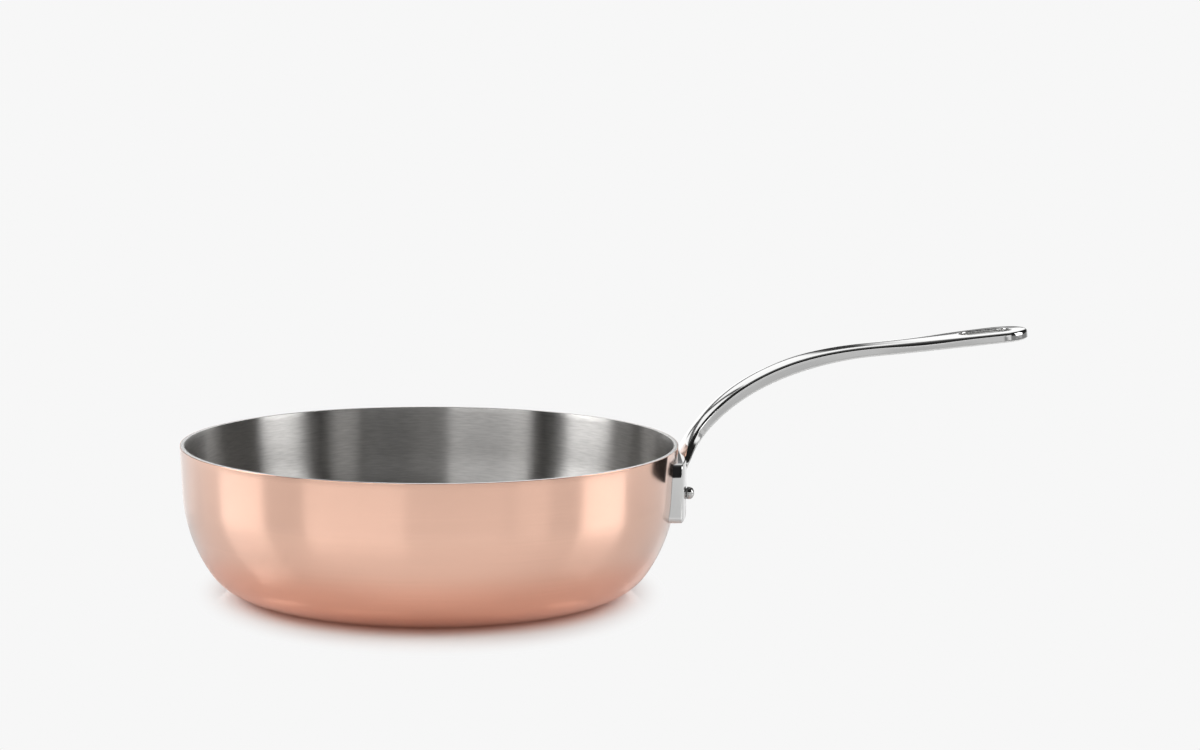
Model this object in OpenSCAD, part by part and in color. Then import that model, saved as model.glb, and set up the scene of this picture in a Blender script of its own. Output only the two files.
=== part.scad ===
// Saucier pan: a round layered body with a cast handle on two rivets.
// The pan's axis is Z, the underside of the base lies at z = 0 and the handle points along +X.
// All lengths are in millimetres and all angles in degrees.

/* [Body] */
// Outer radius of the body at the rim
rim_r = 131; // [110:0.5:150]
// Height of the rim above the underside
body_h = 78; // [70:0.5:95]
// How far the rim stands out past the flat underside
side_reach = 38; // [35:0.5:44]
// Radius of the tight curve where the base turns up
foot_curve_r = 28; // [20:0.5:32]
// Radius of the wide curve that runs into the wall
side_curve_r = 79; // [70:0.5:100]
// Outward lean of the straight wall under the rim
wall_lean = 2.7; // [0:0.1:4]

/* [Layers] */
// Thickness of the copper outside
copper_t = 0.5; // [0.3:0.05:1]
// Thickness of the aluminium core
aluminium_t = 1.6; // [0.8:0.1:2.5]
// Thickness of the stainless steel inside
steel_t = 0.4; // [0.3:0.05:0.8]

/* [Handle flange] */
// Width of the flange, straight across
flange_w = 82; // [64:1:100]
// Height of the flange
flange_h = 31; // [26:0.5:36]
// Thickness of the flange at its top edge
flange_t = 4.6; // [3:0.1:7]
// Distance of the flange's top edge below the rim
flange_drop = 6.4; // [3:0.1:9]
// Radius of the flange's four corners
flange_corner_r = 3; // [1:0.5:8]

/* [Handle arm] */
// Length of the arm from the flange to the start of its round end
arm_reach = 168.5; // [150:0.5:200]
// Rise of the arm from its root to the start of its round end
arm_rise = 70.5; // [62:0.5:80]
// Distance from the flange to the crest, where the arm levels out
crest_reach = 102; // [92:0.5:118]
// Rise of the crest above the arm's root
crest_rise = 63.3; // [54:0.1:70]
// Slope of the arm at the crest
crest_slope = 5; // [0:0.1:10]
// Slope of the arm at its round end
end_slope = 6; // [0:0.1:12]
// Depth of the arm's root below the flange's top edge
root_depth = 8.6; // [5:0.1:12]
// Width of the arm where it leaves the flange
root_w = 32; // [24:0.5:44]
// Width of the arm at the neck
neck_w = 21; // [15:0.5:26]
// Width of the arm at the grip
grip_w = 19; // [15:0.5:26]
// Width of the arm at the crest
crest_w = 19; // [15:0.5:26]
// Width of the arm at the round end
end_w = 30; // [24:0.5:40]
// Thickness of the arm at its root
root_t = 4.4; // [3:0.1:6]
// Thickness of the arm at the grip
grip_t = 6.8; // [4:0.1:9]
// Thickness of the arm at the crest
crest_t = 5.9; // [4:0.1:8]
// Thickness of the arm at the round end
end_t = 5.3; // [3:0.1:7]
// Radius of the arm's long edges
arm_edge_r = 1.6; // [0.4:0.1:2]

/* [Hanging slot] */
// Length of the slot
slot_l = 27; // [18:0.5:34]
// Width of the slot
slot_w = 16; // [6:0.5:18]
// Metal between the slot and the end of the handle
slot_margin = 8.5; // [5:0.5:12]

/* [Rivets] */
// Distance between the two rivets, straight across
rivet_spacing = 34; // [26:0.5:56]
// Distance of the rivets below the flange's top edge
rivet_drop = 18.4; // [12:0.1:20]
// Radius of a rivet's shank
rivet_shank_r = 2.5; // [1.5:0.1:2.8]
// Radial clearance of the shank in its holes
rivet_clearance = 0.05; // [0.02:0.01:0.2]
// Radius of the upset end outside the flange
rivet_tip_r = 3.3; // [3.1:0.1:5]
// Height of the straight part of that end
rivet_tip_step = 1.6; // [0.5:0.1:3]
// Height of the dome on that end
rivet_tip_dome = 2.4; // [0.5:0.1:3]
// Radius of the head inside the pan
rivet_head_r = 6; // [4:0.1:8]
// Height of the head inside the pan
rivet_head_h = 1.7; // [1:0.1:3]

/* [Hidden] */
$fn = 180;
rivet_fn = 48;
slot_fn = 64;

// Overrun of cutting solids past the faces that they cut
overrun = 1;

base_r = rim_r - side_reach;
wall_t = copper_t + aluminium_t + steel_t;

// The side is two tangent arcs and a straight wall, all in the r-z plane
foot_centre = [base_r, foot_curve_r];
wall_normal = [cos(wall_lean), -sin(wall_lean)];
arc_gap = side_curve_r - foot_curve_r;
wall_offset = ([rim_r, body_h] - foot_centre) * wall_normal;
join_angle = wall_lean + acos((side_curve_r - wall_offset) / arc_gap);
side_centre = foot_centre + arc_gap * [-cos(join_angle), sin(join_angle)];
straight_z = side_centre[1] - side_curve_r * sin(wall_lean);
foot_steps = 12;
side_steps = 10;
cap_steps = 7;

flange_top = body_h - flange_drop;
// The flange's outer face stands upright, so the flange grows thicker towards its foot
flange_face_r = wall_r(flange_top) + flange_t;
rivet_z = flange_top - rivet_drop;
rivet_angle = asin(rivet_spacing / 2 / face_r(rivet_z));
// The flat back of the inner head stands off the hollow wall by its own rise there
rivet_head_seat = rivet_clearance
    + rivet_head_r * rivet_head_r / 2 / (min(side_curve_r, face_r(rivet_z)) - wall_t);
// The upset end starts where all of its flat back clears the upright face
rivet_tip_seat = rivet_clearance
    + (flange_face_r - face_r(rivet_z) + rivet_tip_r * sin(face_tilt(rivet_z)))
        / cos(face_tilt(rivet_z));

// The arm's middle line: two cubic curves and a straight round end, in the x-z plane
root_point = [wall_r(flange_top - root_depth) + flange_t / 2, flange_top - root_depth];
crest_point = root_point + [crest_reach, crest_rise];
end_point = root_point + [arm_reach, arm_rise];
root_pull = 7;
crest_pull_back = 85;
crest_pull_on = 18;
end_pull = 20;
lower_curve = [
    root_point,
    root_point + root_pull * heading(90 - wall_lean),
    crest_point - crest_pull_back * heading(crest_slope),
    crest_point
];
upper_curve = [
    crest_point,
    crest_point + crest_pull_on * heading(crest_slope),
    end_point - end_pull * heading(end_slope),
    end_point
];
lower_steps = 28;
upper_steps = 9;
end_steps = 6;
corner_steps = 4;
last_end_angle = 84;

// Places along the lower curve, as shares of it, where the arm's width and thickness are set
root_share = 0.1;
neck_share = 0.4;
grip_share = 0.8;

function heading(angle) = [cos(angle), sin(angle)];
function ease(t) = let(c = min(1, max(0, t))) c * c * (3 - 2 * c);
function blend(a, b, t) = a + (b - a) * ease(t);

// Radius of the straight wall at height z, moved inward by inset
function wall_r(z, inset = 0) =
    rim_r - inset / cos(wall_lean) - (body_h - z) * tan(wall_lean);

// Tilt and radius of the outer face at height z, on the straight wall or the wide curve
function face_tilt(z) =
    z > straight_z ? wall_lean : asin((side_centre[1] - z) / side_curve_r);
function face_r(z) =
    z > straight_z ? wall_r(z) : side_centre[0] + side_curve_r * cos(face_tilt(z));

function curve_point(c, t) =
    pow(1 - t, 3) * c[0] + 3 * pow(1 - t, 2) * t * c[1]
    + 3 * (1 - t) * t * t * c[2] + pow(t, 3) * c[3];

function curve_angle(c, t) =
    let(d = pow(1 - t, 2) * (c[1] - c[0]) + 2 * (1 - t) * t * (c[2] - c[1])
        + t * t * (c[3] - c[2]))
    atan2(d[1], d[0]);

function lower_width(t) =
    t < neck_share ? blend(root_w, neck_w, (t - root_share) / (neck_share - root_share))
    : t < grip_share ? blend(neck_w, grip_w, (t - neck_share) / (grip_share - neck_share))
    : blend(grip_w, crest_w, (t - grip_share) / (1 - grip_share));

function lower_thickness(t) =
    t < grip_share ? blend(root_t, grip_t, (t - root_share) / (grip_share - root_share))
    : blend(grip_t, crest_t, (t - grip_share) / (1 - grip_share));

// One station of the arm: middle point, slope, width, thickness and bend of its cross-section
function lower_station(t) = [
    curve_point(lower_curve, t), curve_angle(lower_curve, t),
    lower_width(t), lower_thickness(t), 1 - ease(t / root_share / 2)
];
function upper_station(t) = [
    curve_point(upper_curve, t), curve_angle(upper_curve, t),
    blend(crest_w, end_w, t), blend(crest_t, end_t, t), 0
];
function end_station(a) = [
    end_point + end_w / 2 * sin(a) * heading(end_slope), end_slope,
    end_w * cos(a), end_t, 0
];

// Rounded rectangle across the arm, as [sideways, up] points
function section(w, t) =
    let(r = min(arm_edge_r, 0.45 * w, 0.45 * t))
    [for (corner = [0:3], step = [0:corner_steps])
        let(a = 90 * corner + 90 * step / corner_steps,
            sx = corner == 0 || corner == 3 ? 1 : -1,
            sy = corner < 2 ? 1 : -1)
        [sx * (w / 2 - r) + r * cos(a), sy * (t / 2 - r) + r * sin(a)]];

// Points of one ring: the root's rings bend round the pan with the flange
function ring(s) =
    [for (q = section(s[2], s[3]))
        [s[0][0] - q[1] * sin(s[1]) - s[4] * q[0] * q[0] / (2 * s[0][0]),
         q[0],
         s[0][1] + q[1] * cos(s[1])]];

arm_stations = concat(
    [for (i = [0:lower_steps]) lower_station(i / lower_steps)],
    [for (i = [1:upper_steps]) upper_station(i / upper_steps)],
    [for (i = [1:end_steps]) end_station(last_end_angle * i / end_steps)]
);
ring_size = 4 * (corner_steps + 1);

module arm() {
    last = len(arm_stations) - 1;
    points = [for (s = arm_stations) each ring(s)];
    sides = [for (i = [0:last - 1], j = [0:ring_size - 1])
        let(k = (j + 1) % ring_size, a = i * ring_size, b = a + ring_size)
        each [[a + j, b + k, a + k], [a + j, b + j, b + k]]];
    first_cap = [for (j = [1:ring_size - 2]) [0, j, j + 1]];
    last_cap = [for (j = [1:ring_size - 2])
        [last * ring_size, last * ring_size + j + 1, last * ring_size + j]];
    polyhedron(points, concat(first_cap, sides, last_cap));
}

// The body's profile moved inward by inset, from the axis out to the wall's top
function body_profile(inset, top) = concat(
    [[0, inset]],
    [for (i = [0:foot_steps])
        foot_centre + (foot_curve_r - inset)
            * heading(-90 + (90 - join_angle) * i / foot_steps)],
    [for (i = [1:side_steps])
        side_centre + (side_curve_r - inset)
            * heading(-join_angle + (join_angle - wall_lean) * i / side_steps)],
    [[wall_r(top, inset), top]]
);

function reversed(list) = [for (i = [len(list) - 1:-1:0]) list[i]];

// Everything inside the body's surface moved inward by inset
module body_solid(inset, top = body_h) {
    rotate_extrude()
        polygon(concat(body_profile(inset, top), [[0, top]]));
}

// One layer of the wall, from inset a to inset b
module layer(a, b) {
    difference() {
        rotate_extrude()
            polygon(concat(body_profile(a, body_h), reversed(body_profile(b, body_h))));
        rivet_holes();
    }
}

// Puts a piece at a rivet: local +Z points out of the wall, from the copper's face
module at_rivet(side) {
    rotate([0, 0, side * rivet_angle])
        translate([face_r(rivet_z), 0, rivet_z])
            rotate([0, 90 + face_tilt(rivet_z), 0])
                children();
}

module rivet_holes() {
    for (side = [-1, 1])
        at_rivet(side)
            translate([0, 0, -wall_t - overrun])
                cylinder(h = wall_t + rivet_tip_seat + 2 * overrun,
                         r = rivet_shank_r + rivet_clearance, $fn = rivet_fn);
}

// Points of a ball's cap from its rim to its top, with the rim at height z
function cap_points(base, height, z) =
    let(ball_r = (base * base + height * height) / (2 * abs(height)),
        span = asin(base / ball_r))
    [for (i = [0:cap_steps])
        let(a = span * (1 - i / cap_steps))
        [ball_r * sin(a), z + sign(height) * (abs(height) - ball_r * (1 - cos(a)))]];

// The upset end outside, the shank and the head inside, turned in one piece
module rivet(side) {
    head_z = -wall_t - rivet_head_seat;
    at_rivet(side)
        rotate_extrude($fn = rivet_fn)
            polygon(concat(
                reversed(cap_points(rivet_head_r, -rivet_head_h, head_z)),
                [[rivet_shank_r, head_z], [rivet_shank_r, rivet_tip_seat]],
                [[rivet_tip_r, rivet_tip_seat]],
                cap_points(rivet_tip_r, rivet_tip_dome, rivet_tip_seat + rivet_tip_step)
            ));
}

// Plate against the wall with an upright outer face, cut out as seen along X
module flange() {
    half_w = flange_w / 2 - flange_corner_r;
    low = flange_top - flange_h + flange_corner_r;
    high = flange_top - flange_corner_r;
    intersection() {
        cylinder(h = body_h, r = flange_face_r);
        rotate([90, 0, 90])
            linear_extrude(rim_r + 2 * flange_t)
                union() {
                    for (y = [-half_w, half_w], z = [low, high])
                        translate([y, z])
                            circle(flange_corner_r, $fn = rivet_fn);
                    translate([-half_w, low - flange_corner_r])
                        square([2 * half_w, flange_h]);
                    translate([-half_w - flange_corner_r, low])
                        square([flange_w, high - low]);
                }
    }
}

module hanging_slot() {
    tip_gap = end_w / 2 - slot_margin;
    translate([end_point[0], 0, end_point[1]])
        rotate([0, -end_slope, 0])
            translate([tip_gap - slot_l + slot_w / 2, 0, -end_t])
                linear_extrude(2 * end_t)
                    union() {
                        circle(slot_w / 2, $fn = slot_fn);
                        translate([slot_l - slot_w, 0])
                            circle(slot_w / 2, $fn = slot_fn);
                        translate([0, -slot_w / 2])
                            square([slot_l - slot_w, slot_w]);
                    }
}

module copper_shell() {
    color([0.85, 0.55, 0.42])
        layer(0, copper_t);
}

module aluminium_core() {
    color([0.78, 0.79, 0.8])
        layer(copper_t, copper_t + aluminium_t);
}

module steel_liner() {
    color([0.6, 0.6, 0.6])
        layer(copper_t + aluminium_t, wall_t);
}

module handle() {
    color([0.72, 0.73, 0.74])
        difference() {
            union() {
                flange();
                arm();
            }
            body_solid(0);
            rivet_holes();
            hanging_slot();
        }
}

module rivet_left() {
    color([0.5, 0.51, 0.52])
        rivet(1);
}

module rivet_right() {
    color([0.5, 0.51, 0.52])
        rivet(-1);
}

copper_shell();
aluminium_core();
steel_liner();
handle();
rivet_left();
rivet_right();
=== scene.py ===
"""Looks of the saucier pan: a lathe-turned layered body, a cast handle and two rivets."""

import math

import bmesh
import bpy
from mathutils import Matrix, Vector


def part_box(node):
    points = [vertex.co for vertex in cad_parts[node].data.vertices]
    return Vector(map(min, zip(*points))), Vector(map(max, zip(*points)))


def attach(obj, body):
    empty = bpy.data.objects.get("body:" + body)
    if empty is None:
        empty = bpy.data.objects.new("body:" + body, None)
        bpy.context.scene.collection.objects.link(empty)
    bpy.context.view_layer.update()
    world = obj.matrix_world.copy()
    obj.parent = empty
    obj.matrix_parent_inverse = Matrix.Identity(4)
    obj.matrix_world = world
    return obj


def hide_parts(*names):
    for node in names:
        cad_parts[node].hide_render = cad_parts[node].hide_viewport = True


bl_info = {
    "name": "Saucier Pan",
    "version": (1, 0, 0),
    "blender": (4, 5, 0),
    "location": "View3D > Sidebar > Pan",
    "description": "Builds a copper-clad saucier pan with a riveted cast handle",
    "category": "Add Mesh",
}

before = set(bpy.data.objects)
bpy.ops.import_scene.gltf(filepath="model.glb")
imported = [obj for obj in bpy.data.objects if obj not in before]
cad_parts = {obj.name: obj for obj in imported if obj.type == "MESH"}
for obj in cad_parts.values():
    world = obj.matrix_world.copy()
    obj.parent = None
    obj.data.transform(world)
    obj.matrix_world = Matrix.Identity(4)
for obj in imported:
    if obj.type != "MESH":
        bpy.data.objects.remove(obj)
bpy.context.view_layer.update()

MM = 0.001
BODY = "root"

# Body: edge rounding at the rim, and how finely it is turned
RIM_ROUND_OUTSIDE = 0.3 * MM
RIM_ROUND_INSIDE = 0.25 * MM
SHARP_EDGE = 0.02 * MM
AXIS_HOLE = 0.02 * MM
BODY_TURNS = 288

# Arm: places along its middle line, and widths and thicknesses between root and grip
ROOT_DEPTH = 8.6 * MM
CREST_FROM_ROOT = Vector((102, 63.3)) * MM
CREST_SLOPE = 5
END_SLOPE = 6.0
ROOT_WIDTH = 32 * MM
NECK_WIDTH = 21 * MM
ROOT_THICKNESS = 4.4 * MM
CREST_THICKNESS = 5.9 * MM
LOWER_EDGE = 0.8 * MM

# Flange: its corners, its front edge and the gap between it and the wall
FLANGE_CORNER = 3.0 * MM
FLANGE_EDGE = 0.9 * MM
FLANGE_GAP = 0.05 * MM

# Slot: the metal left beyond it and the rounding of its edges
SLOT_MARGIN = 8.5 * MM
SLOT_EDGE = 0.8 * MM

# Handle: the fewest faces it can have when its cuts worked, and the angle of a sharp edge
FEWEST_FACES = 1000
SHARP_ANGLE = 32

# Rivets: head inside the pan, pin, and dome outside the flange
HEAD_RADIUS = 5.98 * MM
HEAD_RISE = 1.7 * MM
HEAD_GAP = 0.285 * MM
PIN_RADIUS = 2.5 * MM
DOME_BEVEL = 0.2 * MM
DOME_FOOT = 1.6 * MM
DOME_RISE = 2.4 * MM
RIVET_TURNS = 64


def cad_rim():
    """Outer radius and height of the rim, read from the frame."""
    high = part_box("copper_shell")[1]
    return high.x, high.z


RIM_RADIUS, RIM_HEIGHT = cad_rim()


class PanSizes(bpy.types.PropertyGroup):
    """Sizes of the body, the handle and the rivets."""

    rim_radius: bpy.props.FloatProperty(
        name="Rim radius", description="Outer radius at the rim",
        default=RIM_RADIUS, unit="LENGTH")
    height: bpy.props.FloatProperty(
        name="Height", description="Height of the rim above the underside",
        default=RIM_HEIGHT, unit="LENGTH")
    side_reach: bpy.props.FloatProperty(
        name="Side reach", description="How far the rim stands outside the flat underside",
        default=38 * MM, unit="LENGTH")
    foot_curve: bpy.props.FloatProperty(
        name="Foot curve", description="Radius of the tight curve round the base",
        default=28 * MM, unit="LENGTH")
    side_curve: bpy.props.FloatProperty(
        name="Side curve", description="Radius of the wide curve above it",
        default=79 * MM, unit="LENGTH")
    wall_lean: bpy.props.FloatProperty(
        name="Wall lean", description="Outward lean of the straight wall",
        default=math.radians(2.7), subtype="ANGLE")
    copper: bpy.props.FloatProperty(
        name="Copper", description="Thickness of the copper layer",
        default=0.5 * MM, unit="LENGTH")
    aluminium: bpy.props.FloatProperty(
        name="Aluminium", description="Thickness of the aluminium core",
        default=1.6 * MM, unit="LENGTH")
    steel: bpy.props.FloatProperty(
        name="Steel", description="Thickness of the steel liner",
        default=0.4 * MM, unit="LENGTH")
    flange_width: bpy.props.FloatProperty(
        name="Flange width", description="Width of the flange, straight across",
        default=82 * MM, unit="LENGTH")
    flange_height: bpy.props.FloatProperty(
        name="Flange height", description="Height of the flange",
        default=31 * MM, unit="LENGTH")
    flange_thickness: bpy.props.FloatProperty(
        name="Flange thickness", description="Thickness of the flange at its top edge",
        default=4.6 * MM, unit="LENGTH")
    flange_drop: bpy.props.FloatProperty(
        name="Flange drop", description="Distance of the flange's top edge below the rim",
        default=6.4 * MM, unit="LENGTH")
    arm_reach: bpy.props.FloatProperty(
        name="Arm reach", description="Length of the arm up to its round end",
        default=168.5 * MM, unit="LENGTH")
    arm_rise: bpy.props.FloatProperty(
        name="Arm rise", description="Rise of the arm from its root to its round end",
        default=70.5 * MM, unit="LENGTH")
    grip_width: bpy.props.FloatProperty(
        name="Grip width", description="Width of the arm where it is held",
        default=19 * MM, unit="LENGTH")
    grip_thickness: bpy.props.FloatProperty(
        name="Grip thickness", description="Thickness of the arm where it is held",
        default=6.8 * MM, unit="LENGTH")
    end_width: bpy.props.FloatProperty(
        name="End width", description="Width of the arm at its round end",
        default=30 * MM, unit="LENGTH")
    end_thickness: bpy.props.FloatProperty(
        name="End thickness", description="Thickness of the arm at its round end",
        default=5.3 * MM, unit="LENGTH")
    slot_length: bpy.props.FloatProperty(
        name="Slot length", description="Length of the hanging slot",
        default=27 * MM, unit="LENGTH")
    slot_width: bpy.props.FloatProperty(
        name="Slot width", description="Width of the hanging slot",
        default=16 * MM, unit="LENGTH")
    rivet_spacing: bpy.props.FloatProperty(
        name="Rivet spacing", description="Distance between the two rivets, straight across",
        default=34 * MM, unit="LENGTH")
    rivet_drop: bpy.props.FloatProperty(
        name="Rivet drop", description="Distance of the rivets below the flange's top edge",
        default=18.4 * MM, unit="LENGTH")
    rivet_tip: bpy.props.FloatProperty(
        name="Rivet tip", description="Radius of the rivets' ends outside the flange",
        default=3.3 * MM, unit="LENGTH")


class PanColours(bpy.types.PropertyGroup):
    """Colours of the metals and of the stage."""

    copper: bpy.props.FloatVectorProperty(
        name="Copper", description="Colour of the copper outside", subtype="COLOR",
        default=(0.86, 0.53, 0.402))
    steel: bpy.props.FloatVectorProperty(
        name="Steel", description="Colour of the brushed steel inside", subtype="COLOR",
        default=(0.50, 0.49, 0.478))
    aluminium: bpy.props.FloatVectorProperty(
        name="Aluminium", description="Colour of the core's cut edge", subtype="COLOR",
        default=(0.62, 0.62, 0.615))
    casting: bpy.props.FloatVectorProperty(
        name="Casting", description="Colour of the polished handle", subtype="COLOR",
        default=(0.66, 0.66, 0.655))
    floor: bpy.props.FloatVectorProperty(
        name="Floor", description="Colour of the floor", subtype="COLOR",
        default=(0.80, 0.80, 0.80))


def sizes():
    """The sizes set in the panel."""
    return bpy.context.scene.pan_sizes


def colours():
    """The colours set in the panel."""
    return bpy.context.scene.pan_colours


def heading(angle):
    """Unit vector in the x-z plane at an angle above the x axis, in degrees."""
    return Vector((math.cos(math.radians(angle)), math.sin(math.radians(angle))))


def ease(t):
    """Smooth step from 0 to 1, flat at both ends."""
    t = min(1.0, max(0.0, t))
    return t * t * (3 - 2 * t)


def blend(a, b, t):
    """Value that eases from a to b as t goes from 0 to 1."""
    return a + (b - a) * ease(t)


# Meshes

def mesh_object(name, bm):
    """Object made from bm, which is freed."""
    bmesh.ops.recalc_face_normals(bm, faces=bm.faces)
    mesh = bpy.data.meshes.new(name)
    bm.to_mesh(mesh)
    bm.free()
    item = bpy.data.objects.new(name, mesh)
    bpy.context.scene.collection.objects.link(item)
    return item


def add_piece(name, bm, material, slot, *nodes):
    """Smooth piece made from bm, on the pan's body, in place of the CAD nodes."""
    piece = mesh_object(name, bm)
    piece.data.shade_smooth()
    piece.data.materials.append(material)
    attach(piece, BODY)
    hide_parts(*nodes)
    return piece


def apply_boolean(target, tool, operation):
    """Applies one exact boolean to target and deletes the tool."""
    step = target.modifiers.new("shape", "BOOLEAN")
    step.operation = operation
    step.solver = "EXACT"
    step.object = tool
    graph = bpy.context.evaluated_depsgraph_get()
    graph.update()
    result = bpy.data.meshes.new_from_object(target.evaluated_get(graph))
    target.modifiers.clear()
    target.data = result
    bpy.data.objects.remove(tool)


def bridge(bm, rings):
    """Joins each closed ring of vertices to the next one with four-sided faces."""
    for a, b in zip(rings, rings[1:]):
        for j in range(len(a)):
            k = (j + 1) % len(a)
            bm.faces.new((a[j], a[k], b[k], b[j]))


def lathe(profile, turns):
    """Closed ring of revolution from a closed loop of (radius, height) points."""
    bm = bmesh.new()
    rings = []
    for i in range(turns):
        turn = 2 * math.pi * i / turns
        c, s = math.cos(turn), math.sin(turn)
        rings.append([bm.verts.new((r * c, r * s, z)) for r, z in profile])
    count = len(profile)
    for i in range(turns):
        a, b = rings[i], rings[(i + 1) % turns]
        for j in range(count):
            k = (j + 1) % count
            bm.faces.new((a[j], b[j], b[k], a[k]))
    return bm


def body_shape():
    """Centres of the side's two arcs and the angle where they join, from the sizes."""
    s = sizes()
    foot = Vector((s.rim_radius - s.side_reach, s.foot_curve))
    normal = Vector((math.cos(s.wall_lean), -math.sin(s.wall_lean)))
    gap = s.side_curve - s.foot_curve
    offset = (Vector((s.rim_radius, s.height)) - foot).dot(normal)
    join = s.wall_lean + math.acos((s.side_curve - offset) / gap)
    side = foot + gap * Vector((-math.cos(join), math.sin(join)))
    return foot, side, join


def wall_radius(z, inset=0.0):
    """Radius of the straight wall's outer face at a height, moved inward by inset."""
    s = sizes()
    lean_in = (s.height - z) * math.tan(s.wall_lean)
    return s.rim_radius - inset / math.cos(s.wall_lean) - lean_in


def side_radius(z, out=0.0):
    """Radius of the body's outer face at a height, moved outward by out."""
    s = sizes()
    side = body_shape()[1]
    if z > side.y - (s.side_curve + out) * math.sin(s.wall_lean):
        return wall_radius(z, -out)
    r = s.side_curve + out
    return side.x + math.sqrt(max(0.0, r * r - (side.y - z) ** 2))


def body_profile(inset, top):
    """Points from near the axis out to the wall's top, moved inward by inset."""
    s = sizes()
    foot, side, join = body_shape()
    base_steps, foot_steps, side_steps, wall_steps = 14, 26, 22, 8
    points = [(AXIS_HOLE + (foot.x - AXIS_HOLE) * i / base_steps, inset)
              for i in range(base_steps)]
    for i in range(foot_steps + 1):
        a = -math.pi / 2 + (math.pi / 2 - join) * i / foot_steps
        points.append((foot.x + (s.foot_curve - inset) * math.cos(a),
                       foot.y + (s.foot_curve - inset) * math.sin(a)))
    for i in range(1, side_steps + 1):
        a = -join + (join - s.wall_lean) * i / side_steps
        points.append((side.x + (s.side_curve - inset) * math.cos(a),
                       side.y + (s.side_curve - inset) * math.sin(a)))
    start = points[-1][1]
    for i in range(1, wall_steps + 1):
        z = start + (top - start) * i / wall_steps
        points.append((wall_radius(z, inset), z))
    return points


def layer_mesh(inner, outer, round_outer, round_inner):
    """One layer between two insets, with rounded rim edges and a tiny hole at the axis."""
    top = sizes().height
    edge_steps = 4
    out = body_profile(outer, top - round_outer)
    back = body_profile(inner, top - round_inner)
    rim = []
    for i in range(1, edge_steps + 1):
        a = math.pi / 2 * i / edge_steps
        rim.append((wall_radius(top, outer) - round_outer * (1 - math.cos(a)),
                    top - round_outer * (1 - math.sin(a))))
    for i in range(edge_steps):
        a = math.pi / 2 * (1 - i / edge_steps)
        rim.append((wall_radius(top, inner) + round_inner * (1 - math.cos(a)),
                    top - round_inner * (1 - math.sin(a))))
    return lathe(out + rim + back[::-1], BODY_TURNS)


def flange_face():
    """Radius of the flange's upright outer face."""
    s = sizes()
    return wall_radius(s.height - s.flange_drop) + s.flange_thickness


def arm_line():
    """The arm's middle line as two cubic curves, from the flange to the round end."""
    s = sizes()
    root_pull, long_pull, crest_pull, end_pull = 7 * MM, 85 * MM, 18 * MM, 20 * MM
    root_z = s.height - s.flange_drop - ROOT_DEPTH
    root = Vector((wall_radius(root_z) + s.flange_thickness / 2, root_z))
    crest = root + CREST_FROM_ROOT
    end = root + Vector((s.arm_reach, s.arm_rise))
    lower = (root, root + root_pull * heading(90 - math.degrees(s.wall_lean)),
             crest - long_pull * heading(CREST_SLOPE), crest)
    upper = (crest, crest + crest_pull * heading(CREST_SLOPE),
             end - end_pull * heading(END_SLOPE), end)
    return lower, upper


def curve_point(c, t):
    """Point of a cubic curve."""
    return ((1 - t) ** 3 * c[0] + 3 * (1 - t) ** 2 * t * c[1]
            + 3 * (1 - t) * t * t * c[2] + t ** 3 * c[3])


def curve_angle(c, t):
    """Slope of a cubic curve, in radians."""
    d = ((1 - t) ** 2 * (c[1] - c[0]) + 2 * (1 - t) * t * (c[2] - c[1])
         + t * t * (c[3] - c[2]))
    return math.atan2(d.y, d.x)


def arm_stations():
    """Middle point, slope, bend and cross-section at each station of the arm."""
    s = sizes()
    lower, upper = arm_line()
    lower_steps, upper_steps = 120, 44
    # Shares of the lower curve: where the root, the neck and the grip are, how far it is
    # from each to the next, and where the bend round the pan ends
    root_at, neck_at, grip_at = 0.1, 0.4, 0.8
    root_to_neck, neck_to_grip, root_to_grip, grip_to_crest = 0.3, 0.4, 0.7, 0.2
    bend_ends = 0.2
    soft_ends = 0.8    # share of the upper curve over which its top edges are softer
    top_edge, softer_by, crown, end_crown = 1.6, 0.8, 0.5, 0.2    # in millimetres
    rows = []
    for i in range(lower_steps + 1):
        t = i / lower_steps
        if t < neck_at:
            width = blend(ROOT_WIDTH, NECK_WIDTH, (t - root_at) / root_to_neck)
        else:
            width = blend(NECK_WIDTH, s.grip_width, (t - neck_at) / neck_to_grip)
        if t < grip_at:
            thick = blend(ROOT_THICKNESS, s.grip_thickness, (t - root_at) / root_to_grip)
        else:
            thick = blend(s.grip_thickness, CREST_THICKNESS, (t - grip_at) / grip_to_crest)
        rows.append((curve_point(lower, t), curve_angle(lower, t), 1 - ease(t / bend_ends),
                     arm_section(width, thick, top_edge * MM, crown * MM)))
    for i in range(1, upper_steps + 1):
        t = i / upper_steps
        soft = math.sin(math.pi * min(1.0, t / soft_ends)) ** 2
        rows.append((curve_point(upper, t), curve_angle(upper, t), 0.0,
                     arm_section(blend(s.grip_width, s.end_width, t),
                                 blend(CREST_THICKNESS, s.end_thickness, t),
                                 (top_edge + softer_by * soft) * MM,
                                 blend(crown, end_crown, t) * MM)))
    return rows


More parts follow.
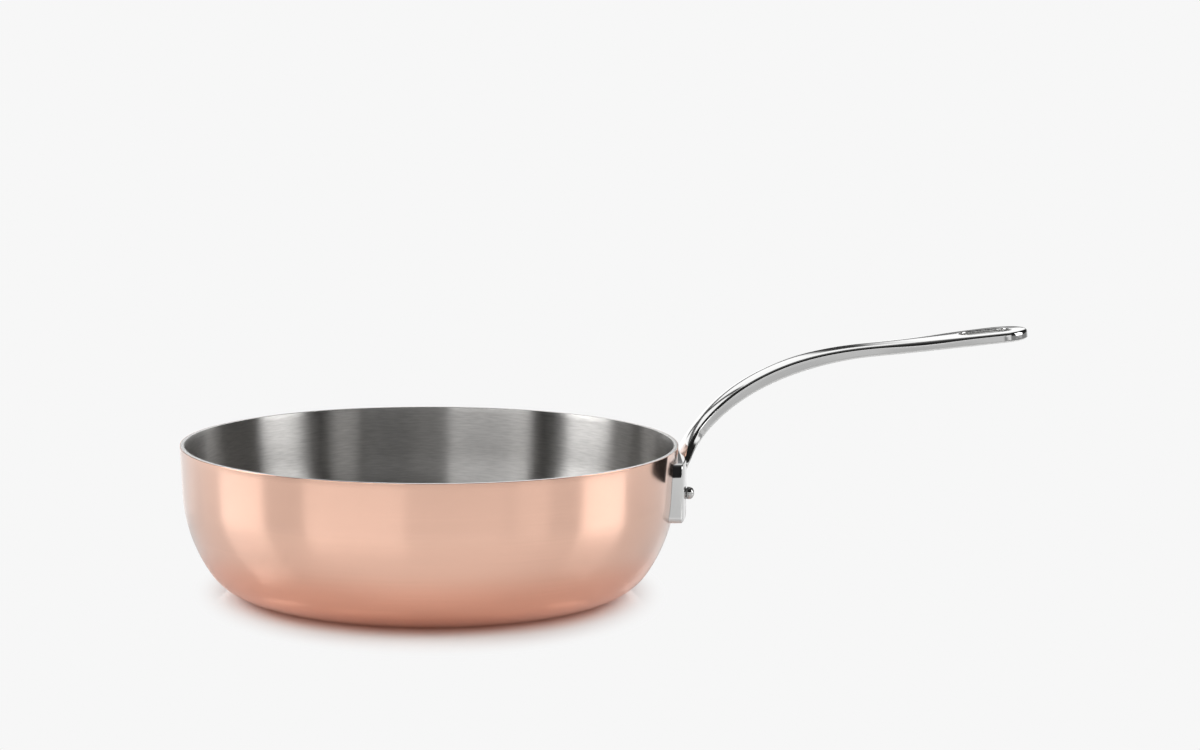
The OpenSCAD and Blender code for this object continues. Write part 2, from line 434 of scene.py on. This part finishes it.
def arm_section(width, thick, top_edge, crown):
    """Points round the arm: crowned top, upright sides and softly rounded long edges."""
    half, up = width / 2, thick / 2
    face_steps, side_steps = 18, 5
    points = []

    def corner(cx, cy, radius, start):
        """Quarter circle in steps of 10 degrees."""
        for i in range(10):
            a = math.radians(start + 10 * i)
            points.append((cx + radius * math.cos(a), cy + radius * math.sin(a)))

    def run(x0, y0, x1, y1, rise, steps):
        """Points between two corners, on a low arch that rises by rise."""
        for i in range(1, steps):
            s = i / steps
            points.append((x0 + (x1 - x0) * s, y0 + (y1 - y0) * s + rise * 4 * s * (1 - s)))

    high = up - crown
    corner(half - top_edge, high - top_edge, top_edge, 0)
    run(half - top_edge, high, top_edge - half, high, crown, face_steps)
    corner(top_edge - half, high - top_edge, top_edge, 90)
    run(-half, high - top_edge, -half, LOWER_EDGE - up, 0, side_steps)
    corner(LOWER_EDGE - half, LOWER_EDGE - up, LOWER_EDGE, 180)
    run(LOWER_EDGE - half, -up, half - LOWER_EDGE, -up, 0, face_steps)
    corner(half - LOWER_EDGE, LOWER_EDGE - up, LOWER_EDGE, 270)
    run(half, LOWER_EDGE - up, half, high - top_edge, 0, side_steps)
    return points


def arm_mesh():
    """The arm swept from its cross-sections and bent round the pan at its root. Its round
    end is the last cross-section turned through half a circle."""
    bm = bmesh.new()
    stations = arm_stations()
    rings = []
    for point, slope, bend, section in stations:
        ring = []
        for side, up in section:
            x = point.x - up * math.sin(slope) - bend * side * side / (2 * point.x)
            ring.append(bm.verts.new((x, side, point.y + up * math.cos(slope))))
        rings.append(ring)
    bridge(bm, rings)
    bm.faces.new(rings[0][::-1])

    point, slope, bend, section = stations[-1]
    half = [(max(0.0, side), up) for side, up in section if side > -1e-7]
    half.sort(key=lambda p: math.atan2(p[1], p[0]))
    end_steps = 48
    turns = []
    for i in range(end_steps + 1):
        a = math.radians(90 - 180 * i / end_steps)
        row = []
        for side, up in half:
            out = side * math.cos(a)
            x = point.x + out * math.cos(slope) - up * math.sin(slope)
            z = point.y + out * math.sin(slope) + up * math.cos(slope)
            row.append(bm.verts.new((x, side * math.sin(a), z)))
        turns.append(row)
    for a, b in zip(turns, turns[1:]):
        for j in range(len(half) - 1):
            bm.faces.new((a[j], a[j + 1], b[j + 1], b[j]))
    bmesh.ops.remove_doubles(bm, verts=bm.verts, dist=0.001 * MM)
    return bm


def flange_outline():
    """Points round the flange: corner centre across and up, and the way out from it."""
    s = sizes()
    cx = s.flange_width / 2 - FLANGE_CORNER
    cz = s.flange_height / 2 - FLANGE_CORNER
    corner_steps, wide_steps, high_steps = 8, 96, 40
    outline = []
    for q, (sx, sz) in enumerate(((1, 1), (-1, 1), (-1, -1), (1, -1))):
        for i in range(corner_steps + 1):
            a = math.radians(90 * q + 90 * i / corner_steps)
            outline.append((sx * cx, sz * cz, math.cos(a), math.sin(a)))
    dense = []
    for i, p in enumerate(outline):
        dense.append(p)
        n = outline[(i + 1) % len(outline)]
        if i % (corner_steps + 1) == corner_steps:
            steps = wide_steps if abs(n[0] - p[0]) > abs(n[1] - p[1]) else high_steps
            for k in range(1, steps):
                dense.append(tuple(p[m] + (n[m] - p[m]) * k / steps for m in range(4)))
    return dense


def flange_mesh():
    """The plate between the curved wall and its own upright face, with rounded edges."""
    s = sizes()
    bm = bmesh.new()
    middle = s.height - s.flange_drop - s.flange_height / 2
    outline, face = flange_outline(), flange_face()
    shrinks = (0.1, 0.3, 0.5, 0.7, 0.9)

    def loop(radius, inset, shrink=1.0):
        """One loop of the outline; a radius of None lies on the wall."""
        row = []
        for ox, oz, dx, dz in outline:
            y = (ox + (FLANGE_CORNER - inset) * dx) * shrink
            z = middle + (oz + (FLANGE_CORNER - inset) * dz) * shrink
            r = side_radius(z, FLANGE_GAP) if radius is None else radius
            row.append(bm.verts.new((math.sqrt(r * r - y * y), y, z)))
        return row

    loops = [loop(None, 0.0, shrink) for shrink in (*shrinks, 1.0)]
    loops.append(loop(face - FLANGE_EDGE, 0.0))
    for i in range(1, 6):
        a = math.radians(18 * i)
        loops.append(loop(face - FLANGE_EDGE + FLANGE_EDGE * math.sin(a),
                          FLANGE_EDGE * (1 - math.cos(a))))
    loops += [loop(face, FLANGE_EDGE, shrink) for shrink in reversed(shrinks)]
    bridge(bm, loops)
    bm.faces.new(loops[0])
    bm.faces.new(loops[-1][::-1])
    return bm


def slot_cutter():
    """A long rounded prism through the end of the arm, flared where it meets the faces."""
    s = sizes()
    end = arm_line()[1][3]
    bm = bmesh.new()
    radius, straight = s.slot_width / 2, s.slot_length - s.slot_width
    centre = s.end_width / 2 - SLOT_MARGIN - s.slot_length / 2
    up, past_face, end_steps = s.end_thickness / 2, 0.8 * MM, 32
    flare_steps, flare_step = 5, 14    # in degrees
    flare = []
    for i in range(flare_steps + 1):
        a = math.radians(flare_step * i)
        flare.append((up - SLOT_EDGE + SLOT_EDGE * math.sin(a), SLOT_EDGE * (1 - math.cos(a))))
    high, wide = flare[-1]
    flare.append((high + past_face,
                  wide + past_face * math.tan(math.radians(flare_steps * flare_step))))
    levels = [(-z, out) for z, out in reversed(flare)] + flare
    place = (Matrix.Translation(Vector((end.x, 0, end.y)))
             @ Matrix.Rotation(math.radians(-END_SLOPE), 4, "Y"))
    rings = []
    for z, out in levels:
        ring = []
        for side in (1, -1):
            for i in range(end_steps + 1):
                a = math.pi * i / end_steps - math.pi / 2
                x = centre + side * (straight / 2 + (radius + out) * math.cos(a))
                y = side * (radius + out) * math.sin(a)
                ring.append(bm.verts.new(place @ Vector((x, y, z))))
        rings.append(ring)
    bridge(bm, rings)
    bm.faces.new(rings[0][::-1])
    bm.faces.new(rings[-1])
    return bm


def rivet_profile(wall, seat):
    """Half outline of a rivet: head inside the pan, pin, and dome outside the flange."""
    tip = sizes().rivet_tip
    steps = 12
    profile = []
    for i in range(steps + 1):
        a = math.pi / 2 * i / steps
        profile.append((AXIS_HOLE + HEAD_RADIUS * math.sin(a),
                        -wall - HEAD_GAP - HEAD_RISE * math.cos(a) ** 0.8))
    profile += [(PIN_RADIUS, -wall - HEAD_GAP), (PIN_RADIUS, seat)]
    profile += [(tip - DOME_BEVEL, seat), (tip, seat + DOME_BEVEL)]
    for i in range(steps + 1):
        a = math.pi / 2 * i / steps
        profile.append(((tip - AXIS_HOLE) * math.cos(a) + AXIS_HOLE,
                        seat + DOME_FOOT + DOME_RISE * math.sin(a)))
    return profile


# Materials

def new_material(name):
    """A new material and its node tree."""
    material = bpy.data.materials.new(name)
    material.use_nodes = True
    return material, material.node_tree


def main_shader(tree):
    """The shader that a new material comes with."""
    return tree.nodes["Principled BSDF"]


def show(tree, shader):
    """Puts a shader on the surface, in place of the one that a new material comes with."""
    tree.links.new(shader, tree.nodes["Material Output"].inputs["Surface"])


def set_inputs(node, **values):
    """Sets constants on a node's sockets, which are named with _ for each space."""
    for socket, value in values.items():
        node.inputs[socket.replace("_", " ")].default_value = value


def calculate(tree, operation, first, second):
    """Socket of one sum; the second value is a socket or a number."""
    step = tree.nodes.new("ShaderNodeMath")
    step.operation = operation
    tree.links.new(first, step.inputs[0])
    if isinstance(second, float):
        step.inputs[1].default_value = second
    else:
        tree.links.new(second, step.inputs[1])
    return step.outputs[0]


def length(tree, vector):
    """Socket with the length of a vector."""
    step = tree.nodes.new("ShaderNodeVectorMath")
    step.operation = "LENGTH"
    tree.links.new(vector, step.inputs[0])
    return step.outputs["Value"]


def slide(tree, value, start, end, low=0.0, high=1.0, kind="LINEAR"):
    """Socket that goes from low to high as value goes from start to end."""
    step = tree.nodes.new("ShaderNodeMapRange")
    step.interpolation_type = kind
    for socket, number in (("From Min", start), ("From Max", end),
                           ("To Min", low), ("To Max", high)):
        step.inputs[socket].default_value = number
    tree.links.new(value, step.inputs["Value"])
    return step.outputs[0]


def mix_shaders(tree, factor, first, second):
    """Socket that turns from the first shader to the second as factor goes to 1."""
    mix = tree.nodes.new("ShaderNodeMixShader")
    for source, socket in zip((factor, first, second), mix.inputs):
        tree.links.new(source, socket)
    return mix.outputs[0]


def glow(tree, level):
    """Plain light of a grey level, where 1 is white."""
    light = tree.nodes.new("ShaderNodeEmission")
    set_inputs(light, Color=(level, level, level, 1))
    return light.outputs[0]


def glow_by(tree, strength):
    """White light as strong as a socket says."""
    light = tree.nodes.new("ShaderNodeEmission")
    tree.links.new(strength, light.inputs["Strength"])
    return light.outputs[0]


def own_place(tree):
    """Socket with the place in the piece's own coordinates."""
    return tree.nodes.new("ShaderNodeTexCoord").outputs["Object"]


def split(tree, vector):
    """Sockets with the x, y and z of a vector."""
    step = tree.nodes.new("ShaderNodeSeparateXYZ")
    tree.links.new(vector, step.inputs[0])
    return step.outputs


def turned_coordinates(tree, around, along):
    """Coordinates for grain that runs round the pan's axis: angle, then height and radius."""
    x, y, z = split(tree, own_place(tree))
    flat = tree.nodes.new("ShaderNodeCombineXYZ")
    tree.links.new(x, flat.inputs["X"])
    tree.links.new(y, flat.inputs["Y"])
    joined = tree.nodes.new("ShaderNodeCombineXYZ")
    for source, socket, scale in ((calculate(tree, "ARCTAN2", y, x), "X", around),
                                  (z, "Y", along),
                                  (length(tree, flat.outputs[0]), "Z", along)):
        tree.links.new(calculate(tree, "MULTIPLY", source, scale), joined.inputs[socket])
    return joined.outputs[0]


def noise(tree, vector, scale, detail):
    """Socket with a cloudy value between 0 and 1."""
    cloud = tree.nodes.new("ShaderNodeTexNoise")
    set_inputs(cloud, Scale=scale, Detail=detail)
    tree.links.new(vector, cloud.inputs["Vector"])
    return cloud.outputs["Fac"]


def vary(tree, shader, value, roughness, dark, light, start=0.0, end=1.0):
    """Lets a value between 0 and 1 carry the roughness and the colour of a metal."""
    tree.links.new(slide(tree, value, 0.0, 1.0, *roughness), shader.inputs["Roughness"])
    ramp = tree.nodes.new("ShaderNodeValToRGB")
    for stop, position, colour in zip(ramp.color_ramp.elements, (start, end), (dark, light)):
        stop.position = position
        stop.color = (*colour, 1)
    tree.links.new(value, ramp.inputs[0])
    tree.links.new(ramp.outputs[0], shader.inputs["Base Color"])


def turned_metal(name, colour, roughness, spread, anisotropy, grain, bump,
                 around=1.4, tone=0.05):
    """Metal brushed round the pan's axis, with a fine grain in tone, roughness and bump."""
    material, tree = new_material(name)
    shader = main_shader(tree)
    set_inputs(shader, Metallic=1.0, Anisotropic=anisotropy, Anisotropic_Rotation=0.25)
    tangent = tree.nodes.new("ShaderNodeTangent")
    tangent.direction_type = "RADIAL"
    tangent.axis = "Z"
    tree.links.new(tangent.outputs[0], shader.inputs["Tangent"])
    lines = noise(tree, turned_coordinates(tree, around, grain), 1.0, 5.0)
    vary(tree, shader, lines, (roughness - spread, roughness + spread),
         [c * (1 - tone) for c in colour], [min(1, c * (1 + tone)) for c in colour],
         start=0.3, end=0.7)
    relief = tree.nodes.new("ShaderNodeBump")
    set_inputs(relief, Strength=bump, Distance=0.02 * MM)
    tree.links.new(lines, relief.inputs["Height"])
    tree.links.new(relief.outputs[0], shader.inputs["Normal"])
    return material


def lacquered_copper(colour):
    """Turned copper under a clear, slightly soft coat."""
    material = turned_metal("copper", colour, roughness=0.20, spread=0.02, anisotropy=0.6,
                            grain=9000.0, bump=0.03)
    set_inputs(main_shader(material.node_tree), Coat_Weight=1.0, Coat_Roughness=0.2)
    return material


def polished_metal(name, colour, roughness):
    """Cast metal with a mirror polish and a trace of softer patches."""
    material, tree = new_material(name)
    shader = main_shader(tree)
    set_inputs(shader, Metallic=1.0)
    patches = noise(tree, own_place(tree), 60.0, 4.0)
    vary(tree, shader, patches, (roughness * 0.6, roughness * 1.4),
         [c * 0.97 for c in colour], [min(1, c * 1.02) for c in colour])
    return material


# Stage

# The studio as the metals see it: a round wall with soft boxes and screens on it. Each
# has a start and an end by compass angle from the camera's side, negative to its left,
# a softness of both, its foot and top above the table, and its brightness. Where two lie
# over each other, the later one is seen.
WALL_RADIUS = 1.05
WALL_HEIGHT = 1.5
WALL_SIDES = 180
SCREENS = (
    ("left back", -160, -130, 3, 0.19, 2.0, 0.05),
    ("right back", 130, 141, 2, 0.19, 2.0, 0.05),
    ("low wall", -155, 155, 3, -0.1, 0.19, 0.6),
    ("back door", 159, 165.5, 2, 0.12, 0.49, 0.05),
    ("back post", -176.5, -173, 1, 0.12, 0.55, 0.05),
    ("low gap", -104, 125, 3, -0.1, 0.19, 0.3),
    ("low front", -10, 33, 1, -0.1, 0.12, 0.75),
    ("low front left", -67, -27, 2, -0.1, 0.12, 0.3),
    ("dark front", -130, 131, 1, 0.12, 2.0, 0.02),
    ("left wing", -125, -105, 1, 0.12, 0.7, 0.38),
    ("left box", -105.5, -77, 2, 0.12, 0.38, 3.6),
    ("left box top", -105.5, -77, 2, 0.38, 0.90, 5.2),
    ("front left", -55, -10, 1, 0.20, 0.60, 2.7),
    ("front strip", -55, -43, 1, 0.20, 0.60, 2.8),
    ("front", -10, 10, 1, 0.20, 0.40, 1.2),
    ("front dim", 10, 34, 2, 0.20, 0.38, 1.35),
    ("front foot", -10, 34, 1, 0.12, 0.20, 0.4),
    ("front left foot", -55, -10, 1, 0.10, 0.20, 1.6),
    ("front right", 36, 53, 3, 0.05, 0.40, 1.0),
    ("right box", 70, 96, 1, 0.12, 0.35, 4.4),
    ("right box top", 70, 96, 1, 0.35, 0.85, 3.2),
)
SCREEN_EDGE = 0.01

# The bare wall is white, with one dark line round it
BACK_WALL = 1.3
BACK_LINE = 0.15
BACK_LINE_HEIGHTS = (0.19, 0.27)
BACK_LINE_EDGE = 0.005

# Plain cards that only the metals see: a name, the corners and a grey level. The first
# darkens the flange's top and the copper beside it, the second lights the upward faces.
CARDS = (
    ("front_card", ((0.1225, -0.05, 0.0632), (0.146, -0.05, 0.0632),
                    (0.146, -0.05, 0.078), (0.1225, -0.05, 0.078)), 0.02),
    ("ceiling_card", ((-0.6, -0.1, 1.5), (0.8, -0.1, 1.5),
                      (0.8, 0.7, 1.5), (-0.6, 0.7, 1.5)), 0.24),
)

# Lamps: a name, the place, the turn in degrees, the width, the height and the watts
LAMPS = (
    ("overhead", (0, 0, 1.8), (0, 0, 0), 2.2, 2.2, 4.0),
    ("left_box", (-1.0, 0.02, 0.60), (90, 0, -90), 0.62, 1.1, 7.0),
    ("right_box", (1.0, -0.125, 0.60), (90, 0, 90), 0.50, 1.1, 7.0),
)

# World: what the camera sees, the light on the floor, and the metals' ceiling
BACKDROP = 0.93
SKY = 0.68
CEILING = 0.04

# Table: distances from the pan's axis over which one finish fades into the next
FLOOR_RADIUS = 30.0
GLOSS_TO_MATT = (0.100, 0.124)
MATT_TO_BACKDROP = (0.119, 0.160)
SHADOW_STRETCH = (1.28, 1.0, 1.0)
GLOSS_TO_LOW_GLOSS = (0.12, 0.16)
LOW_GLOSS_TO_FAR = (0.50, 0.80)
MATT_WHITE = (0.83, 0.83, 0.83, 1)
# Painted glow: round the foot the table gives off a faint copper-coloured light, painted in
# place of the light that the copper throws onto it
PAINTED_COPPER_GLOW = (1.0, 0.45, 0.32, 1)

# The far floor in the metals: where it brightens towards the back, and from what to what
FAR_FLOOR_REACH = (-0.10, 0.25)
FAR_FLOOR_LEVELS = (0.62, BACK_WALL)

# Camera: its turn to the left and its pitch down in degrees, its distance from the pan's
# axis and its height, then the focal length, the middle column and the width in pixels
CAMERA_TURN, CAMERA_PITCH = 2.0, 7.42
CAMERA_DISTANCE, CAMERA_HEIGHT = 1.35, 0.2892
FOCAL, CENTRE_COLUMN, FRAME_WIDTH = 2590.0, 429.0, 1200.0


def white_table(colour):
    """White acrylic. The camera sees it glossy round the foot, then matt with a soft shadow,
    then as the backdrop. The metals see it glossy, and bright far away. Round the foot it is
    tinted pink and glows faintly, which is painted light in place of the copper's glow on the
    table."""
    material, tree = new_material("white_table")
    gloss_and_painted_glow = main_shader(tree)
    # Painted reflection and glow: round the foot the table is tinted pink and glows faintly,
    # standing in for the copper's light on the table. The copper's foot mirrors this and looks
    # more orange
    set_inputs(gloss_and_painted_glow, Base_Color=(colour[0], 0.85 * colour[1], 0.80 * colour[2], 1),
               Roughness=0.06, IOR=1.65, Emission_Color=PAINTED_COPPER_GLOW, Emission_Strength=0.05)
    matt = tree.nodes.new("ShaderNodeBsdfDiffuse")
    set_inputs(matt, Color=MATT_WHITE)
    low_gloss = tree.nodes.new("ShaderNodeBsdfPrincipled")
    set_inputs(low_gloss, Base_Color=(*colour, 1), Roughness=0.08, IOR=1.22)
    place = own_place(tree)
    stretched = tree.nodes.new("ShaderNodeVectorMath")
    stretched.operation = "MULTIPLY"
    stretched.inputs[1].default_value = SHADOW_STRETCH
    tree.links.new(place, stretched.inputs[0])
    distance = length(tree, place)
    shadow_distance = length(tree, stretched.outputs[0])
    path = tree.nodes.new("ShaderNodeLightPath")

    def fading(near, far, reach, distance=distance):
        """Turns from one finish to another over a reach of distances."""
        return mix_shaders(tree, slide(tree, distance, *reach, kind="SMOOTHSTEP"), near, far)

    backward = split(tree, place)["Y"]
    far_floor = glow_by(tree, slide(tree, backward, *FAR_FLOOR_REACH, *FAR_FLOOR_LEVELS))
    close = fading(gloss_and_painted_glow.outputs[0], matt.outputs[0], GLOSS_TO_MATT)
    seen = fading(close, glow(tree, BACKDROP), MATT_TO_BACKDROP, shadow_distance)
    # The metals see the painted pink glow round the foot, and it colours the copper's foot
    round_foot = fading(gloss_and_painted_glow.outputs[0], low_gloss.outputs[0], GLOSS_TO_LOW_GLOSS)
    reflected = fading(round_foot, far_floor, LOW_GLOSS_TO_FAR)
    show(tree, mix_shaders(tree, path.outputs["Is Camera Ray"], reflected, seen))
    return material


def floor():
    """The round table top that the pan stands on."""
    bm = bmesh.new()
    bmesh.ops.create_circle(bm, cap_ends=True, segments=96, radius=FLOOR_RADIUS)
    item = mesh_object("floor", bm)
    item.data.materials.append(white_table(colours().floor))


def soft_light(name, place, turn, wide, high, watts):
    """A soft box that lights the table and that no reflection shows."""
    lamp = bpy.data.lights.new(name, "AREA")
    lamp.shape = "RECTANGLE"
    lamp.size = wide
    lamp.size_y = high
    lamp.energy = watts
    light = bpy.data.objects.new(name, lamp)
    bpy.context.scene.collection.objects.link(light)
    light.location = place
    light.rotation_euler = [math.radians(angle) for angle in turn]
    light.visible_glossy = False
    light.visible_camera = False


def reflected_only(item):
    """Leaves a piece of the stage to the reflections alone."""
    item.visible_camera = False
    item.visible_diffuse = False
    item.visible_shadow = False


def card(name, corners, level):
    """A plain card of a grey level."""
    bm = bmesh.new()
    bm.faces.new([bm.verts.new(corner) for corner in corners])
    item = mesh_object(name, bm)
    material, tree = new_material(name)
    show(tree, glow(tree, level))
    item.data.materials.append(material)
    reflected_only(item)


def between(tree, value, low, high, soft, mask=None):
    """A mask that is 1 where value lies between low and high, times another mask."""
    for edge, before, after in ((low, 0.0, 1.0), (high, 1.0, 0.0)):
        ramp = slide(tree, value, edge - soft, edge + soft, before, after, "SMOOTHSTEP")
        mask = ramp if mask is None else calculate(tree, "MULTIPLY", mask, ramp)
    return mask


def wall_ring(bm, z):
    """Ring of vertices round the studio at a height."""
    ring = []
    for i in range(WALL_SIDES):
        a = 2 * math.pi * i / WALL_SIDES
        ring.append(bm.verts.new((WALL_RADIUS * math.sin(a), WALL_RADIUS * math.cos(a), z)))
    return ring


def overlay(tree, level, mask, brightness, label):
    """Puts a brightness over a level where the mask is 1."""
    step = tree.nodes.new("ShaderNodeMix")
    step.label = label
    tree.links.new(mask, step.inputs["Factor"])
    if isinstance(level, float):
        step.inputs["A"].default_value = level
    else:
        tree.links.new(level, step.inputs["A"])
    step.inputs["B"].default_value = brightness
    return step.outputs["Result"]


def studio_wall(camera_turn):
    """A round wall: white behind the pan, with soft boxes at both sides, screens in front
    and dark gaps between them."""
    bm = bmesh.new()
    bridge(bm, [wall_ring(bm, 0.0), wall_ring(bm, WALL_HEIGHT)])
    wall = mesh_object("studio_wall", bm)
    material, tree = new_material("studio_wall")
    turned = tree.nodes.new("ShaderNodeVectorRotate")
    turned.rotation_type = "Z_AXIS"
    set_inputs(turned, Angle=camera_turn)
    tree.links.new(own_place(tree), turned.inputs["Vector"])
    x, y, height = split(tree, turned.outputs[0])
    front = calculate(tree, "MULTIPLY", y, -1.0)
    compass = calculate(tree, "MULTIPLY", calculate(tree, "ARCTAN2", x, front), 180 / math.pi)

    line = between(tree, height, *BACK_LINE_HEIGHTS, BACK_LINE_EDGE)
    level = overlay(tree, BACK_WALL, line, BACK_LINE, "back line")
    for name, start, end, soft, foot, top, brightness in SCREENS:
        mask = between(tree, compass, start, end, soft)
        mask = between(tree, height, foot, top, SCREEN_EDGE, mask)
        level = overlay(tree, level, mask, brightness, name)
    show(tree, glow_by(tree, level))
    wall.data.materials.append(material)
    wall.visible_transmission = False
    reflected_only(wall)


def studio_world():
    """Plain white all round, but the metals' reflections see a dim ceiling over the wall."""
    world = bpy.data.worlds.new("studio")
    bpy.context.scene.world = world
    world.use_nodes = True
    tree = world.node_tree
    tree.nodes.clear()

    def plain(level):
        """Plain light of a grey level from all sides."""
        light = tree.nodes.new("ShaderNodeBackground")
        set_inputs(light, Color=(level, level, level, 1))
        return light.outputs[0]

    path = tree.nodes.new("ShaderNodeLightPath").outputs
    lit = mix_shaders(tree, path["Is Glossy Ray"], plain(SKY), plain(CEILING))
    seen = mix_shaders(tree, path["Is Camera Ray"], lit, plain(BACKDROP))
    out = tree.nodes.new("ShaderNodeOutputWorld")
    tree.links.new(seen, out.inputs["Surface"])


def camera(turn):
    """The camera, fitted to the pan's ellipses in a frame FRAME_WIDTH pixels wide."""
    lens = bpy.data.cameras.new("camera")
    lens.sensor_width = 36.0
    lens.lens = FOCAL / FRAME_WIDTH * lens.sensor_width
    lens.shift_x = (FRAME_WIDTH / 2 - CENTRE_COLUMN) / FRAME_WIDTH
    lens.clip_end = 200.0
    stand = bpy.data.objects.new("camera", lens)
    bpy.context.scene.collection.objects.link(stand)
    stand.location = (-CAMERA_DISTANCE * math.sin(turn), -CAMERA_DISTANCE * math.cos(turn),
                      CAMERA_HEIGHT)
    stand.rotation_euler = (math.pi / 2 - math.radians(CAMERA_PITCH), 0, -turn)
    bpy.context.scene.camera = stand


# Operators

class PAN_OT_body(bpy.types.Operator):
    """Turn the copper shell, the aluminium core and the steel liner"""

    bl_idname = "pan.body"
    bl_label = "Layered Body"

    def execute(self, context):
        s, c = sizes(), colours()
        core = turned_metal("cut_aluminium", c.aluminium, roughness=0.25, spread=0.05,
                            anisotropy=0.3, grain=3000.0, bump=0.1)
        steel = turned_metal("brushed_steel", c.steel, roughness=0.30, spread=0.015,
                             anisotropy=1.0, grain=1100.0, bump=0.05, around=18.0, tone=0.12)
        wall = s.copper + s.aluminium + s.steel
        add_piece("copper_skin", layer_mesh(s.copper, 0.0, RIM_ROUND_OUTSIDE, SHARP_EDGE),
                  lacquered_copper(c.copper), "copper", "copper_shell")
        add_piece("core_sheet",
                  layer_mesh(s.copper + s.aluminium, s.copper, SHARP_EDGE, SHARP_EDGE),
                  core, "aluminium", "aluminium_core")
        add_piece("steel_lining",
                  layer_mesh(wall, s.copper + s.aluminium, SHARP_EDGE, RIM_ROUND_INSIDE),
                  steel, "brushed_steel", "steel_liner")
        return {"FINISHED"}


class PAN_OT_handle(bpy.types.Operator):
    """Cast the handle: a curved flange, an arched arm and a hanging slot"""

    bl_idname = "pan.handle"
    bl_label = "Cast Handle"

    def execute(self, context):
        metal = polished_metal("polished_casting", colours().casting, 0.07)
        piece = add_piece("handle_casting", arm_mesh(), metal, "cast_steel", "handle")
        apply_boolean(piece, mesh_object("flange_form", flange_mesh()), "UNION")
        apply_boolean(piece, mesh_object("slot_form", slot_cutter()), "DIFFERENCE")
        if len(piece.data.polygons) < FEWEST_FACES:
            raise RuntimeError("the handle's booleans left too few faces")
        piece.data.materials.clear()
        piece.data.materials.append(metal)
        for face in piece.data.polygons:
            face.material_index = 0
        piece.data.shade_smooth()
        piece.data.set_sharp_from_angle(angle=math.radians(SHARP_ANGLE))
        return {"FINISHED"}


class PAN_OT_rivets(bpy.types.Operator):
    """Set the two rivets through the flange and the wall"""

    bl_idname = "pan.rivets"
    bl_label = "Rivets"

    def execute(self, context):
        s = sizes()
        metal = polished_metal("rivet_steel", [0.8 * v for v in colours().casting], 0.12)
        wall = s.copper + s.aluminium + s.steel
        z = s.height - s.flange_drop - s.rivet_drop
        radius, lean = side_radius(z), s.wall_lean
        turn = math.asin(s.rivet_spacing / 2 / radius)
        outward = flange_face() - radius + s.rivet_tip * math.sin(lean)
        seat = FLANGE_GAP + outward / math.cos(lean)
        for name, node, side in (("rivet_pin_left", "rivet_left", 1),
                                 ("rivet_pin_right", "rivet_right", -1)):
            bm = lathe(rivet_profile(wall, seat), RIVET_TURNS)
            place = (Matrix.Rotation(side * turn, 4, "Z")
                     @ Matrix.Translation(Vector((radius, 0, z)))
                     @ Matrix.Rotation(math.pi / 2 + lean, 4, "Y"))
            bmesh.ops.transform(bm, matrix=place, verts=bm.verts)
            add_piece(name, bm, metal, "rivet_steel", node)
        return {"FINISHED"}


class PAN_OT_stage(bpy.types.Operator):
    """Set the floor, the studio light and the camera"""

    bl_idname = "pan.stage"
    bl_label = "Stage"

    def execute(self, context):
        context.scene.view_settings.view_transform = "Standard"
        turn = math.radians(CAMERA_TURN)
        floor()
        for lamp in LAMPS:
            soft_light(*lamp)
        for plain_card in CARDS:
            card(*plain_card)
        studio_wall(turn)
        studio_world()
        camera(turn)
        return {"FINISHED"}


class PAN_PT_panel(bpy.types.Panel):
    """Lists the pan's pieces, sizes and colours"""

    bl_idname = "PAN_PT_panel"
    bl_label = "Saucier Pan"
    bl_space_type = "VIEW_3D"
    bl_region_type = "UI"
    bl_category = "Pan"

    def draw(self, context):
        for group in (context.scene.pan_sizes, context.scene.pan_colours):
            for name in group.bl_rna.properties.keys():
                if name not in ("rna_type", "name"):
                    self.layout.prop(group, name)
        for operator in OPERATORS:
            self.layout.operator(operator.bl_idname)


OPERATORS = (PAN_OT_body, PAN_OT_handle, PAN_OT_rivets, PAN_OT_stage)
CLASSES = (PanSizes, PanColours, *OPERATORS, PAN_PT_panel)


def register():
    """Registers the classes and puts the sizes and colours on the scene."""
    for item in CLASSES:
        bpy.utils.register_class(item)
    bpy.types.Scene.pan_sizes = bpy.props.PointerProperty(type=PanSizes)
    bpy.types.Scene.pan_colours = bpy.props.PointerProperty(type=PanColours)


def unregister():
    """Undoes what register does."""
    del bpy.types.Scene.pan_colours
    del bpy.types.Scene.pan_sizes
    for item in reversed(CLASSES):
        bpy.utils.unregister_class(item)


def main():
    """Builds the pan and its stage."""
    register()
    bpy.ops.pan.body()
    bpy.ops.pan.handle()
    bpy.ops.pan.rivets()
    bpy.ops.pan.stage()


if __name__ == "__main__":
    main()
